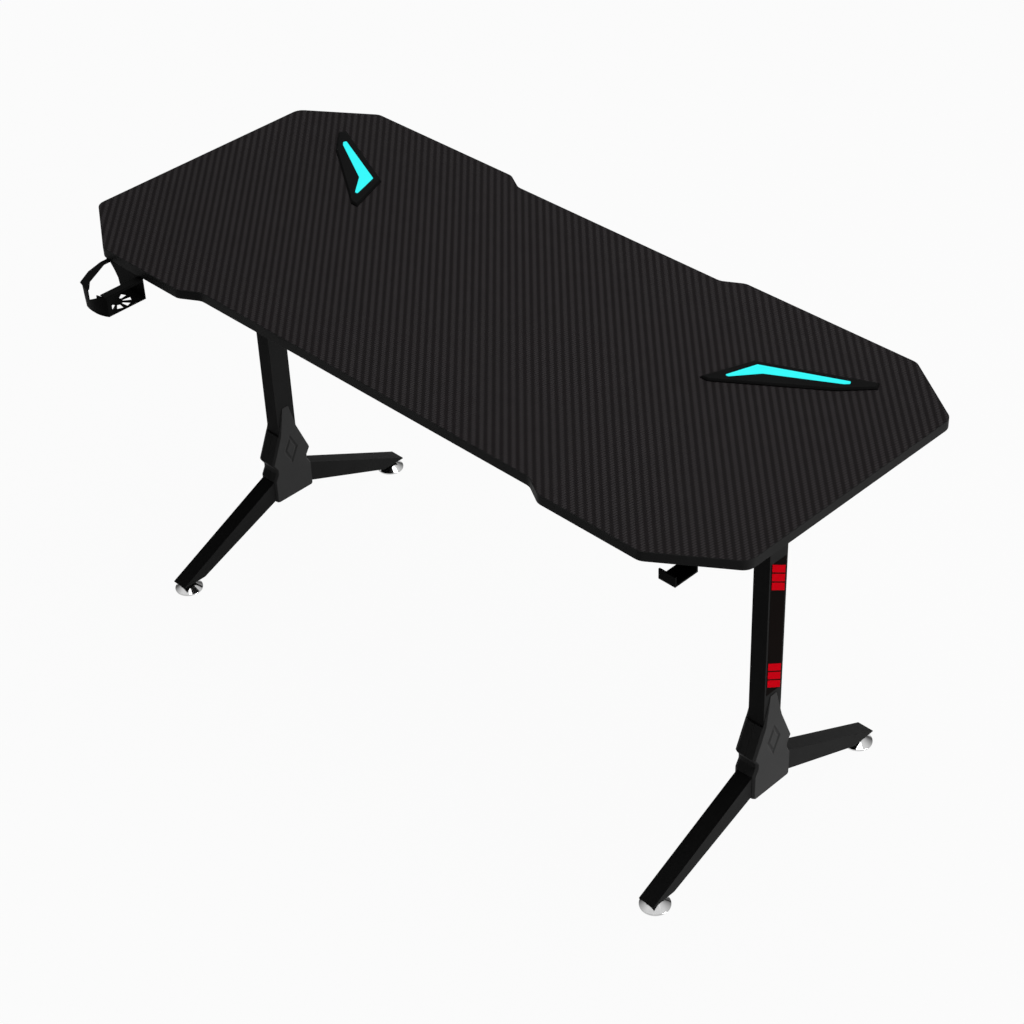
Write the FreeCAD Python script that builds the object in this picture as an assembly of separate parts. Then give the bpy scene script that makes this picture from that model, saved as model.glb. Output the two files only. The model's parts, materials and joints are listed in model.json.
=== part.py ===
"""Gaming desk: a chamfered carbon-look top on two Y-shaped legs, with lights, a cup holder and a hook.

Millimetres, +Z up, floor at Z 0, +X to the sitter's right, +Y to the rear.
Shapes are drawn about the middle of the top and moved at the end so that the whole stands centred.
"""
import FreeCAD
import Part
import math
import os

# Table top
TOP_LENGTH = 1400.0
TOP_DEPTH = 600.0
DESK_HEIGHT = 724.0
CORE_THICK = 15.0
LAMINATE_THICK = 1.0
BAND_THICK = 1.2
CHAMFER_LENGTH = 121.0
CHAMFER_DEPTH = 82.0
TOP_CORNER_RADIUS = 22.0
FRONT_NOTCH_INSET = 308.0
REAR_NOTCH_INSET = 446.0
NOTCH_RUN = 35.0
NOTCH_DEPTH = 20.0

# Light units, right-hand one; the left one is its mirror image
LIGHT_INSET = 225.0
LIGHT_Y = 139.0
BEZEL_LENGTH = 210.0
BEZEL_WIDTH = 159.0
BEZEL_FOOT = 1.5
BEZEL_HEIGHT = 4.5
BEZEL_SLOPE = 3.0
LENS_LENGTH = 147.0
LENS_WIDTH = 107.0
LENS_THICK = 3.1
LENS_SEAT = 2.5
LENS_LEDGE = 2.0
LENS_CORNER_RADIUS = 1.5
TRAY_MARGIN = 4.0
TRAY_WALL = 1.6
LED_BOARD_THICK = 1.6
LED_BOARD_INSET = 2.0
LED_SIZE = 5.0
LED_HEIGHT = 1.8
LED_COUNT = 8
INLET_RADIUS = 5.5
INLET_LENGTH = 12.0
INLET_BORE_RADIUS = 2.8
INLET_BORE_DEPTH = 9.5
# Corners as shares of the length and width, measured from the unit's centre
BEZEL_SHARES = [(-0.50, -0.50), (-0.35, 0.02), (0.47, 0.50), (0.50, 0.42),
                (0.30, 0.15), (-0.14, -0.24), (-0.43, -0.50)]
LENS_SHARES = [(-0.53, -0.51), (-0.41, -0.03), (0.46, 0.49), (0.475, 0.44),
               (0.435, 0.385), (-0.27, -0.145), (-0.49, -0.505)]
LED_LINE_SHARES = [(-0.30, -0.02), (0.36, 0.375)]
INLET_SHARES = (-0.36, -0.13)

# Channels and rails under the top
CHANNEL_WIDTH = 40.0
CHANNEL_HEIGHT = 25.0
CHANNEL_LENGTH = 440.0
CHANNEL_WALL = 2.0
RAIL_WIDTH = 40.0
RAIL_HEIGHT = 20.0
RAIL_WALL = 1.5
RAIL_SPACING = 190.0
FLANGE_THICK = 4.0
FLANGE_WIDTH = 84.0
RAIL_BOLT_SPACING = 60.0
RAIL_BOLT_RADIUS = 3.0
RAIL_BOLT_HEAD_RADIUS = 5.5
RAIL_BOLT_HEAD = 4.0
RAIL_NUT_RADIUS = 6.0
RAIL_NUT = 5.0
SCREW_RADIUS = 2.2
SCREW_HEAD_RADIUS = 4.5
SCREW_HEAD = 2.6
SCREW_BITE = 11.0
CHANNEL_SCREW_SHARES = [-0.43, -0.14, 0.14, 0.43]

# Leg columns and arms
LEG_INSET = 138.0
COLUMN_WIDTH = 30.0
COLUMN_DEPTH = 40.0
COLUMN_WALL = 2.0
COLUMN_FOOT = 90.0
ARM_WIDTH = 30.0
ARM_WALL = 2.2
ARM_ROOT_TOP = 141.0
ARM_ROOT_BOTTOM = 99.0
ARM_REACH = 266.0
ARM_FLAT = 47.0
ARM_CLEAR_HEIGHT = 17.5
ARM_TIP_THICK = 2.0
ARM_SOLID_TIP = 66.0
ARM_END_PLATE = 3.0
ARM_BOLT_RADIUS = 4.0
ARM_BOLT_HEAD_RADIUS = 6.5
ARM_BOLT_HEAD = 5.0
ARM_NUT_RADIUS = 7.0
ARM_NUT = 6.5
ARM_BOLT_LOW = 110.0
ARM_BOLT_HIGH = 127.0

# Joint covers
COVER_FOOT = 83.5
COVER_FOOT_BEVEL = 4.0
COVER_HALF_DEPTH = 43.0
COVER_NECK_LOW = 133.0
COVER_NOTCH = 8.0
COVER_NOTCH_LOW = 146.0
COVER_NOTCH_HIGH = 155.0
COVER_EAR_HALF = 44.0
COVER_EAR_HEIGHT = 168.0
COVER_SHOULDER = 225.0
COVER_APEX = 275.0
COVER_APEX_HALF = 7.0
COVER_WALL_TOP = 220.0
COVER_THICK = 5.0
COVER_BEVEL = 2.5
COVER_LEAN_LOW = 218.0
COVER_APEX_THICK = 1.0
EMBLEM_WIDTH = 32.0
EMBLEM_HEIGHT = 63.0
EMBLEM_MID = 185.0
EMBLEM_DEPTH = 2.0
# Sizes of the groove's outer and inner wall, at its bed and at the face, as shares of the lozenge
EMBLEM_OUTER_SHARES = (0.84, 1.0)
EMBLEM_INNER_SHARES = (0.74, 0.56)

# Stripes on the outer face of each column
FILM_THICK = 0.3
FILM_WIDTH = 33.0
FILM_LOW = 281.0
FILM_HIGH = 532.0
STRIPE_THICK = 0.3
STRIPE_WIDTH = 30.0
STRIPE_HEIGHT = 14.0
STRIPE_PITCH = 16.5
STRIPE_COUNT = 3
STRIPE_DROP = 18.0
STRIPE_TOP_GROUP = 500.0
STRIPE_LOW_GROUP = 312.0

# Glides
GLIDE_INSET = 20.0
STUD_RADIUS = 4.0
STUD_HEX = 13.0
STUD_FOOT = 4.0
STUD_BITE = 4.0
BELL_RADIUS = 25.0
BELL_RIM = 2.6
BELL_HEIGHT = 13.5
BELL_HUB_RADIUS = 9.0
BELL_FLOOR_GAP = 0.6
PAD_RADIUS = 22.0
PAD_THICK = 2.4

# Cup holder at the front left
CUP_INSET = 185.5
CUP_WIDTH = 63.0
CUP_LENGTH = 71.0
CUP_BULGE = 7.0
CUP_SETBACK = 1.0
CUP_DROP = 38.0
CUP_SHEET = 2.0
CUP_TAPER = 10.0
CUP_RIM_WIDTH = 13.0
CUP_RIM_DROP = 3.0
CUP_FLARE = 30.0
CUP_REAR_TOE = 2.0
CUP_CORNER = 5.0
CUP_BAND_REAR = 10.0
CUP_BAND_FRONT = 10.0
CUP_BAND_TOE = 4.0
CUP_BAND_BOW = 4.0
CUP_POST = 8.0
CUP_ARCH = 10.0
CUP_LINTEL = 3.0
CUP_TAB = 50.0
CUP_LIP = 12.0
CUP_GAP_INSET = 22.5
CUP_GAP = 22.0
CUP_GAP_LOW = 16.0
CUP_GAP_HIGH = 28.0
# The rear plate's flared edge, as shares of its run and height
CUP_EDGE_SHARES = [(0.52, 0.70), (0.12, 0.36)]
# Places for slots round the floor, and how many of them are cut, from which place back
SLOT_COUNT = 8
SLOT_OPEN = 5
SLOT_LAG = 2
SLOT_INNER = 9.5
SLOT_OUTER = 23.5
SLOT_ANGLE_SHARE = 0.62
CUP_SCREW_SHARES = [-0.25, 0.25]

# Hook under the front right corner
HOOK_INSET = 100.0
HOOK_WIDTH = 30.0
HOOK_SHEET = 3.0
HOOK_SETBACK = 78.0
HOOK_REACH = 46.0
HOOK_DROP = 42.0
HOOK_LIP = 14.0
HOOK_SCREW_SHARES = [-0.25, 0.25]

# Fits
OVERRUN = 5.0
CLEARANCE = 0.3
BOND_GAP = 0.15
ROUND_LIMIT_SHARE = 0.45

TOP_THICK = CORE_THICK + LAMINATE_THICK
UNDERSIDE = DESK_HEIGHT - TOP_THICK
HALF_LENGTH = TOP_LENGTH / 2
HALF_DEPTH = TOP_DEPTH / 2
LEG_X = HALF_LENGTH - LEG_INSET
LIGHT_X = HALF_LENGTH - LIGHT_INSET
CUP_X = CUP_INSET - HALF_LENGTH
HOOK_X = HALF_LENGTH - HOOK_INSET
FRONT_NOTCH_HALF = HALF_LENGTH - FRONT_NOTCH_INSET
REAR_NOTCH_HALF = HALF_LENGTH - REAR_NOTCH_INSET
ARM_FLAT_START = ARM_REACH - ARM_FLAT
ARM_HOLLOW_END = ARM_REACH - ARM_SOLID_TIP
GLIDE_Y = ARM_REACH - GLIDE_INSET
CUP_REACH = CUP_LENGTH + CUP_BULGE - CUP_SETBACK
CENTRING = CUP_REACH / 2
CHANNEL_WEB = UNDERSIDE - CHANNEL_WALL
SCREW_HOLE_RADIUS = SCREW_RADIUS + CLEARANCE


def vec(x, y, z):
    return FreeCAD.Vector(x, y, z)


def box(x0, x1, y0, y1, z0, z1):
    return Part.makeBox(x1 - x0, y1 - y0, z1 - z0, vec(x0, y0, z0))


def rod(radius, start, end):
    """A cylinder between two points."""
    run = end - start
    return Part.makeCylinder(radius, run.Length, start, run)


def mirror_x(shape):
    return shape.mirror(vec(0, 0, 0), vec(1, 0, 0))


def mirror_y(shape):
    return shape.mirror(vec(0, 0, 0), vec(0, 1, 0))


def join(shapes):
    return shapes[0].fuse(shapes[1:]).removeSplitter()


def save(node, shape):
    placed = shape.copy()
    placed.translate(vec(0, CENTRING, 0))
    placed.exportStep("parts/" + node + ".step")


def anticlockwise(points):
    """The same corners, listed anticlockwise."""
    twice_area = 0
    for (ax, ay), (bx, by) in zip(points, points[1:] + points[:1]):
        twice_area += ax * by - bx * ay
    return points if twice_area > 0 else points[::-1]


def inset(points, gap):
    """The corners of the outline moved in by gap all round; a negative gap moves it out."""
    points = anticlockwise(points)
    lines = []
    for (ax, ay), (bx, by) in zip(points, points[1:] + points[:1]):
        run = math.hypot(bx - ax, by - ay)
        dx, dy = (bx - ax) / run, (by - ay) / run
        lines.append((ax - dy * gap, ay + dx * gap, dx, dy))
    moved = []
    for (ax, ay, adx, ady), (bx, by, bdx, bdy) in zip(lines[-1:] + lines[:-1], lines):
        cross = adx * bdy - ady * bdx
        along = ((bx - ax) * bdy - (by - ay) * bdx) / cross
        moved.append((ax + adx * along, ay + ady * along))
    return moved


def flat_wire(points, place):
    """A closed wire of straight edges; place turns a pair of sizes into a point."""
    corners = [place(a, b) for a, b in points]
    return Part.makePolygon(corners + corners[:1])


def rounded_wire(points, radius, gap, z):
    """The outline moved in by gap, with its corners rounded so that all such outlines stay parallel."""
    corners = inset(points, gap)
    cuts = []
    for i in range(len(corners)):
        before, here, after = (vec(*corners[j % len(corners)], z) for j in (i - 1, i, i + 1))
        back = before - here
        ahead = after - here
        turn = math.pi - back.getAngle(ahead)
        hollow = back.cross(ahead).z > 0
        wanted = max(radius + gap if hollow else radius - gap, 0)
        reach = min(wanted * math.tan(turn / 2), ROUND_LIMIT_SHARE * min(back.Length, ahead.Length))
        bisector = (back.normalize() + ahead.normalize()).normalize()
        start = here + back * reach
        end = here + ahead * reach
        spread = reach / math.tan(turn / 2)
        middle = here + bisector * (spread / math.cos(turn / 2) - spread)
        cuts.append((start, middle, end))
    edges = []
    for (start, middle, end), (following, _, _) in zip(cuts, cuts[1:] + cuts[:1]):
        if start.distanceToPoint(end) > 0:
            edges.append(Part.Arc(start, middle, end).toShape())
        edges.append(Part.LineSegment(end, following).toShape())
    return Part.Wire(edges)


def slab(points, radius, gap, z0, z1):
    """A flat slab of the outline moved in by gap, with rounded corners, from z0 to z1."""
    face = Part.Face(rounded_wire(points, radius, gap, z0))
    return face.extrude(vec(0, 0, z1 - z0))


def plate_yz(points, x0, x1):
    """A plate drawn as (y, z) corners, from x0 to x1."""
    face = Part.Face(flat_wire(points, lambda y, z: vec(x0, y, z)))
    return face.extrude(vec(x1 - x0, 0, 0))


def plate_xz(points, y0, y1):
    """A plate drawn as (x, z) corners, from y0 to y1."""
    face = Part.Face(flat_wire(points, lambda x, z: vec(x, y0, z)))
    return face.extrude(vec(0, y1 - y0, 0))


def plate_xy(points, z0, z1):
    """A plate drawn as (x, y) corners, from z0 to z1."""
    face = Part.Face(flat_wire(points, lambda x, y: vec(x, y, z0)))
    return face.extrude(vec(0, 0, z1 - z0))


def top_outline():
    """Corners of the top: four chamfers, a long shallow notch in front and a shorter one behind."""
    half = []
    front = -HALF_DEPTH
    rear = HALF_DEPTH
    half.append((FRONT_NOTCH_HALF - NOTCH_RUN, front + NOTCH_DEPTH))
    half.append((FRONT_NOTCH_HALF, front))
    half.append((HALF_LENGTH - CHAMFER_LENGTH, front))
    half.append((HALF_LENGTH, front + CHAMFER_DEPTH))
    half.append((HALF_LENGTH, rear - CHAMFER_DEPTH))
    half.append((HALF_LENGTH - CHAMFER_LENGTH, rear))
    half.append((REAR_NOTCH_HALF, rear))
    half.append((REAR_NOTCH_HALF - NOTCH_RUN, rear - NOTCH_DEPTH))
    return half + [(-x, y) for x, y in reversed(half)]


def light_points(shares, length, width):
    return [(LIGHT_X + a * length, LIGHT_Y + b * width) for a, b in shares]


def bezel_outline():
    return light_points(BEZEL_SHARES, BEZEL_LENGTH, BEZEL_WIDTH)


def lens_outline():
    return light_points(LENS_SHARES, LENS_LENGTH, LENS_WIDTH)


def lens_slab(gap, z0, z1):
    """A slab of the lens outline moved in by gap."""
    return slab(lens_outline(), LENS_CORNER_RADIUS, gap, z0, z1)


def make_bezel():
    """A low black frame with sloped sides, a seat for the lens and a window under it."""
    outline = bezel_outline()
    foot = DESK_HEIGHT + BEZEL_FOOT
    crown = DESK_HEIGHT + BEZEL_HEIGHT
    base = plate_xy(outline, DESK_HEIGHT, foot)
    low = flat_wire(inset(outline, 0), lambda x, y: vec(x, y, foot))
    high = flat_wire(inset(outline, BEZEL_SLOPE), lambda x, y: vec(x, y, crown))
    frame = join([base, Part.makeLoft([low, high], True, True)])
    seat = lens_slab(-CLEARANCE, crown - LENS_SEAT, crown + OVERRUN)
    window = lens_slab(LENS_LEDGE, DESK_HEIGHT - OVERRUN, crown)
    return frame.cut(seat).cut(window)


def make_lens():
    seat = DESK_HEIGHT + BEZEL_HEIGHT - LENS_SEAT
    return lens_slab(0, seat, seat + LENS_THICK)


def make_tray():
    """The light's box, let into the board and flush with its underside."""
    outer = lens_slab(-TRAY_MARGIN, UNDERSIDE, DESK_HEIGHT)
    inner = lens_slab(TRAY_WALL - TRAY_MARGIN, UNDERSIDE + TRAY_WALL, DESK_HEIGHT + OVERRUN)
    return outer.cut(inner)


def make_led_board():
    """A circuit board on the tray's floor with a row of light chips."""
    low = UNDERSIDE + TRAY_WALL
    high = low + LED_BOARD_THICK
    pieces = [lens_slab(LED_BOARD_INSET, low, high)]
    (ax, ay), (bx, by) = light_points(LED_LINE_SHARES, LENS_LENGTH, LENS_WIDTH)
    for i in range(LED_COUNT):
        along = i / (LED_COUNT - 1)
        x = ax + (bx - ax) * along
        y = ay + (by - ay) * along
        half = LED_SIZE / 2
        pieces.append(box(x - half, x + half, y - half, y + half, high, high + LED_HEIGHT))
    return join(pieces)


def make_inlet():
    """The round power socket under the tray, open downwards."""
    (x, y), = light_points([INLET_SHARES], LENS_LENGTH, LENS_WIDTH)
    foot = UNDERSIDE - INLET_LENGTH
    body = rod(INLET_RADIUS, vec(x, y, foot), vec(x, y, UNDERSIDE))
    bore = rod(INLET_BORE_RADIUS, vec(x, y, foot - OVERRUN), vec(x, y, foot + INLET_BORE_DEPTH))
    return body.cut(bore)


def light_pocket():
    """The hole in the board for one light's tray."""
    return lens_slab(-TRAY_MARGIN - CLEARANCE, UNDERSIDE - OVERRUN, DESK_HEIGHT + OVERRUN)


def cup_frame():
    """Left, right, back and front chord of the cup holder, then its floor and rim heights."""
    left = CUP_X - CUP_WIDTH / 2
    right = CUP_X + CUP_WIDTH / 2
    back = CUP_SETBACK - HALF_DEPTH
    return left, right, back, back - CUP_LENGTH, UNDERSIDE - CUP_DROP, UNDERSIDE - CUP_RIM_DROP


def hook_frame():
    """Back of the hook's upright, its front end and the top of its arm."""
    back = HOOK_SETBACK - HALF_DEPTH
    return back, back - HOOK_REACH, UNDERSIDE - HOOK_DROP


def screw_seats():
    """Where each wood screw's head sits: x, y and the height of the face above the head."""
    seats = []
    for side in (-1, 1):
        for share in CHANNEL_SCREW_SHARES:
            seats.append((side * LEG_X, share * CHANNEL_LENGTH, CHANNEL_WEB))
    back = cup_frame()[2]
    for share in CUP_SCREW_SHARES:
        seats.append((CUP_X + share * CUP_WIDTH, back + CUP_TAB / 2, UNDERSIDE - CUP_SHEET))
    back, front, _ = hook_frame()
    for share in HOOK_SCREW_SHARES:
        seats.append((HOOK_X + share * HOOK_WIDTH, (back + front) / 2, UNDERSIDE - HOOK_SHEET))
    return seats


def screw_holes(shape):
    """The shape with a clear hole for every wood screw."""
    for x, y, seat in screw_seats():
        start = vec(x, y, seat - SCREW_HEAD)
        end = vec(x, y, UNDERSIDE + SCREW_BITE + CLEARANCE)
        shape = shape.cut(rod(SCREW_HOLE_RADIUS, start, end))
    return shape


def make_screws():
    screws = []
    for x, y, seat in screw_seats():
        head = rod(SCREW_HEAD_RADIUS, vec(x, y, seat - SCREW_HEAD), vec(x, y, seat))
        shank = rod(SCREW_RADIUS, vec(x, y, seat - SCREW_HEAD / 2), vec(x, y, UNDERSIDE + SCREW_BITE))
        screws.append(join([head, shank]))
    return Part.makeCompound(screws)


def make_top():
    """Board core, laminate and edge band."""
    outline = top_outline()
    bond = BAND_THICK + BOND_GAP
    seam = UNDERSIDE + CORE_THICK
    core = slab(outline, TOP_CORNER_RADIUS, bond, UNDERSIDE, seam)
    laminate = slab(outline, TOP_CORNER_RADIUS, bond, seam, DESK_HEIGHT)
    pocket = light_pocket()
    for hole in (pocket, mirror_x(pocket)):
        core = core.cut(hole)
        laminate = laminate.cut(hole)
    ring = slab(outline, TOP_CORNER_RADIUS, 0, UNDERSIDE, DESK_HEIGHT)
    inside = slab(outline, TOP_CORNER_RADIUS, BAND_THICK, UNDERSIDE - OVERRUN, DESK_HEIGHT + OVERRUN)
    return screw_holes(core), laminate, ring.cut(inside)


def rail_bolt_places():
    """Across and height of the bolts at one end of the rails."""
    places = []
    for side in (-1, 1):
        for half in (-1, 1):
            y = side * RAIL_SPACING / 2 + half * RAIL_BOLT_SPACING / 2
            places.append((y, UNDERSIDE - CHANNEL_HEIGHT / 2))
    return places


def rail_bolt_holes(shape):
    radius = RAIL_BOLT_RADIUS + CLEARANCE
    inner = LEG_X - CHANNEL_WIDTH / 2
    for y, z in rail_bolt_places():
        for side in (-1, 1):
            start = vec(side * (inner - FLANGE_THICK - OVERRUN), y, z)
            end = vec(side * (inner + CHANNEL_WALL + OVERRUN), y, z)
            shape = shape.cut(rod(radius, start, end))
    return shape


def make_channel():
    """The right-hand channel, open downwards, that carries the top on its leg."""
    half = CHANNEL_WIDTH / 2
    reach = CHANNEL_LENGTH / 2
    low = UNDERSIDE - CHANNEL_HEIGHT
    outer = box(LEG_X - half, LEG_X + half, -reach, reach, low, UNDERSIDE)
    inside = half - CHANNEL_WALL
    hollow = box(LEG_X - inside, LEG_X + inside, -reach - OVERRUN, reach + OVERRUN,
                 low - OVERRUN, CHANNEL_WEB)
    return rail_bolt_holes(screw_holes(outer.cut(hollow)))


def make_rail(side):
    """A rectangular tube between the channels with a bolted flange at each end."""
    inner = LEG_X - CHANNEL_WIDTH / 2
    reach = inner - FLANGE_THICK
    y = side * RAIL_SPACING / 2
    half = RAIL_WIDTH / 2
    low = UNDERSIDE - RAIL_HEIGHT
    tube = box(-reach, reach, y - half, y + half, low, UNDERSIDE)
    hollow = box(-inner - OVERRUN, inner + OVERRUN, y - half + RAIL_WALL, y + half - RAIL_WALL,
                 low + RAIL_WALL, UNDERSIDE - RAIL_WALL)
    spread = FLANGE_WIDTH / 2
    ends = []
    for x0, x1 in ((-inner, -reach), (reach, inner)):
        ends.append(box(x0, x1, y - spread, y + spread, UNDERSIDE - CHANNEL_HEIGHT, UNDERSIDE))
    return rail_bolt_holes(join([tube] + ends).cut(hollow))


def make_rail_bolts():
    bolts = []
    inner = LEG_X - CHANNEL_WIDTH / 2
    head_seat = inner - FLANGE_THICK
    nut_seat = inner + CHANNEL_WALL
    for y, z in rail_bolt_places():
        for side in (-1, 1):
            head = rod(RAIL_BOLT_HEAD_RADIUS, vec(side * (head_seat - RAIL_BOLT_HEAD), y, z),
                       vec(side * head_seat, y, z))
            nut = rod(RAIL_NUT_RADIUS, vec(side * nut_seat, y, z), vec(side * (nut_seat + RAIL_NUT), y, z))
            shank = rod(RAIL_BOLT_RADIUS, vec(side * (head_seat - RAIL_BOLT_HEAD / 2), y, z),
                        vec(side * (nut_seat + RAIL_NUT), y, z))
            bolts.append(join([head, shank, nut]))
    return Part.makeCompound(bolts)


def arm_top(y):
    """Height of the arm's top face at a distance y from the column's middle."""
    root = COLUMN_DEPTH / 2
    tip = ARM_CLEAR_HEIGHT + ARM_TIP_THICK
    return ARM_ROOT_TOP + (tip - ARM_ROOT_TOP) * (y - root) / (ARM_REACH - root)


def arm_bottom(y):
    """Height of the arm's sloped underside at a distance y from the column's middle."""
    root = COLUMN_DEPTH / 2
    return ARM_ROOT_BOTTOM + (ARM_CLEAR_HEIGHT - ARM_ROOT_BOTTOM) * (y - root) / (ARM_FLAT_START - root)


def arm_bolt_heights():
    return [ARM_BOLT_LOW, ARM_BOLT_HIGH]


def arm_bolt_holes(shape, side):
    """The shape with holes for the bolts of the right leg's rear (side 1) or front (side -1) arm."""
    root = COLUMN_DEPTH / 2
    for z in arm_bolt_heights():
        start = vec(LEG_X, side * (root - COLUMN_WALL - OVERRUN), z)
        end = vec(LEG_X, side * (root + ARM_END_PLATE + OVERRUN), z)
        shape = shape.cut(rod(ARM_BOLT_RADIUS + CLEARANCE, start, end))
    return shape


def make_arm():
    """The right leg's rear arm: a tapered tube with an end plate at its root and a solid toe."""
    root = COLUMN_DEPTH / 2
    tip = ARM_CLEAR_HEIGHT + ARM_TIP_THICK
    outline = [(root, ARM_ROOT_BOTTOM), (ARM_FLAT_START, ARM_CLEAR_HEIGHT), (ARM_REACH, ARM_CLEAR_HEIGHT),
               (ARM_REACH, tip), (root, ARM_ROOT_TOP)]
    half = ARM_WIDTH / 2
    arm = plate_yz(outline, LEG_X - half, LEG_X + half)
    near = root + ARM_END_PLATE
    hollow = [(near, arm_bottom(near) + ARM_WALL), (ARM_HOLLOW_END, arm_bottom(ARM_HOLLOW_END) + ARM_WALL),
              (ARM_HOLLOW_END, arm_top(ARM_HOLLOW_END) - ARM_WALL), (near, arm_top(near) - ARM_WALL)]
    inside = half - ARM_WALL
    arm = arm.cut(plate_yz(hollow, LEG_X - inside, LEG_X + inside))
    foot = GLIDE_Y
    socket = rod(STUD_RADIUS + CLEARANCE, vec(LEG_X, foot, ARM_CLEAR_HEIGHT - OVERRUN),
                 vec(LEG_X, foot, ARM_CLEAR_HEIGHT + STUD_BITE + CLEARANCE))
    return arm_bolt_holes(arm.cut(socket), 1)


def make_arm_bolts():
    """Bolts and nuts that hold all four arms to their columns."""
    root = COLUMN_DEPTH / 2
    head_seat = root + ARM_END_PLATE
    nut_seat = root - COLUMN_WALL
    bolts = []
    for leg in (-1, 1):
        for side in (-1, 1):
            for z in arm_bolt_heights():
                x = leg * LEG_X
                head = rod(ARM_BOLT_HEAD_RADIUS, vec(x, side * head_seat, z),
                           vec(x, side * (head_seat + ARM_BOLT_HEAD), z))
                nut = rod(ARM_NUT_RADIUS, vec(x, side * (nut_seat - ARM_NUT), z),
                          vec(x, side * nut_seat, z))
                shank = rod(ARM_BOLT_RADIUS, vec(x, side * (nut_seat - ARM_NUT), z),
                            vec(x, side * (head_seat + ARM_BOLT_HEAD / 2), z))
                bolts.append(join([head, shank, nut]))
    return Part.makeCompound(bolts)


def make_column():
    """The right leg's upright tube."""
    half = COLUMN_WIDTH / 2
    deep = COLUMN_DEPTH / 2
    tube = box(LEG_X - half, LEG_X + half, -deep, deep, COLUMN_FOOT, CHANNEL_WEB)
    hollow = box(LEG_X - half + COLUMN_WALL, LEG_X + half - COLUMN_WALL, COLUMN_WALL - deep,
                 deep - COLUMN_WALL, COLUMN_FOOT - OVERRUN, CHANNEL_WEB + OVERRUN)
    tube = tube.cut(hollow)
    for side in (-1, 1):
        tube = arm_bolt_holes(tube, side)
    return tube


def cover_outline():
    """Side view of the joint cover: foot, neck over the arms, notched ears and a tall tapered back."""
    waist = COVER_EAR_HALF - COVER_NOTCH
    rear = [(COVER_HALF_DEPTH - COVER_FOOT_BEVEL, COVER_FOOT),
            (COVER_HALF_DEPTH, COVER_FOOT + COVER_FOOT_BEVEL),
            (COVER_HALF_DEPTH, COVER_NECK_LOW),
            (waist, COVER_NOTCH_LOW),
            (waist, COVER_NOTCH_HIGH),
            (COVER_EAR_HALF, COVER_EAR_HEIGHT),
            (COLUMN_DEPTH / 2 + CLEARANCE, COVER_SHOULDER),
            (COVER_APEX_HALF, COVER_APEX)]
    return rear + [(-y, z) for y, z in reversed(rear)]


def lozenge(share, x):
    """The emblem's outline at a share of its size, in the plane at x."""
    half = EMBLEM_WIDTH / 2 * share
    rise = EMBLEM_HEIGHT / 2 * share
    corners = [(-half, EMBLEM_MID), (0, EMBLEM_MID - rise), (half, EMBLEM_MID), (0, EMBLEM_MID + rise)]
    return flat_wire(corners, lambda y, z: vec(x, y, z))


def emblem_groove(face):
    """A plain lozenge-shaped groove with sloping walls in the cover's outer face."""
    walls = []
    for bed_share, face_share in (EMBLEM_OUTER_SHARES, EMBLEM_INNER_SHARES):
        bed = lozenge(bed_share, face - EMBLEM_DEPTH)
        walls.append(Part.makeLoft([bed, lozenge(face_share, face)], True, True))
    return walls[0].cut(walls[1])


def cover_lean(inner, face):
    """What is cut off where the cover's outer face leans back to the column."""
    thin = inner + COVER_APEX_THICK
    beyond, over = face + OVERRUN, COVER_APEX + OVERRUN
    corners = [(face, COVER_LEAN_LOW), (beyond, COVER_LEAN_LOW), (beyond, over), (thin, over),
               (thin, COVER_APEX)]
    return plate_xz(corners, -COVER_HALF_DEPTH, COVER_HALF_DEPTH)


def make_cover():
    """The outer half of the right leg's joint cover, hollow for the column and the two arms."""
    inner = COLUMN_WIDTH / 2 + CLEARANCE
    face = LEG_X + inner + COVER_THICK
    outline = anticlockwise(cover_outline())
    block = plate_yz(outline, LEG_X, LEG_X + inner)
    low = flat_wire(inset(outline, 0), lambda y, z: vec(LEG_X + inner, y, z))
    high = flat_wire(inset(outline, COVER_BEVEL), lambda y, z: vec(face, y, z))
    cover = join([block, Part.makeLoft([low, high], True, True)])
    deep = COLUMN_DEPTH / 2 + CLEARANCE
    well = box(LEG_X - inner, LEG_X + inner, -deep, deep, COLUMN_FOOT - CLEARANCE, COVER_APEX + OVERRUN)
    above = box(LEG_X - inner, LEG_X + inner, -COVER_HALF_DEPTH - OVERRUN, COVER_HALF_DEPTH + OVERRUN,
                COVER_WALL_TOP, COVER_APEX + OVERRUN)
    far = COVER_HALF_DEPTH + OVERRUN
    way = [(0, arm_bottom(0) - CLEARANCE), (far, arm_bottom(far) - CLEARANCE),
           (far, arm_top(far) + CLEARANCE), (0, arm_top(0) + CLEARANCE)]
    rear = plate_yz(way, LEG_X - inner, LEG_X + inner)
    lean = cover_lean(LEG_X + inner, face)
    for cut in (well, above, rear, mirror_y(rear), emblem_groove(face), lean):
        cover = cover.cut(cut)
    return cover


def flip_on_leg(shape):
    """The shape mirrored to the other side of the right leg."""
    return shape.mirror(vec(LEG_X, 0, 0), vec(1, 0, 0))


def make_film():
    """The thin dark strip on the right column's outer face."""
    face = LEG_X + COLUMN_WIDTH / 2
    half = FILM_WIDTH / 2
    return box(face, face + FILM_THICK, -half, half, FILM_LOW, FILM_HIGH)


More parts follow.
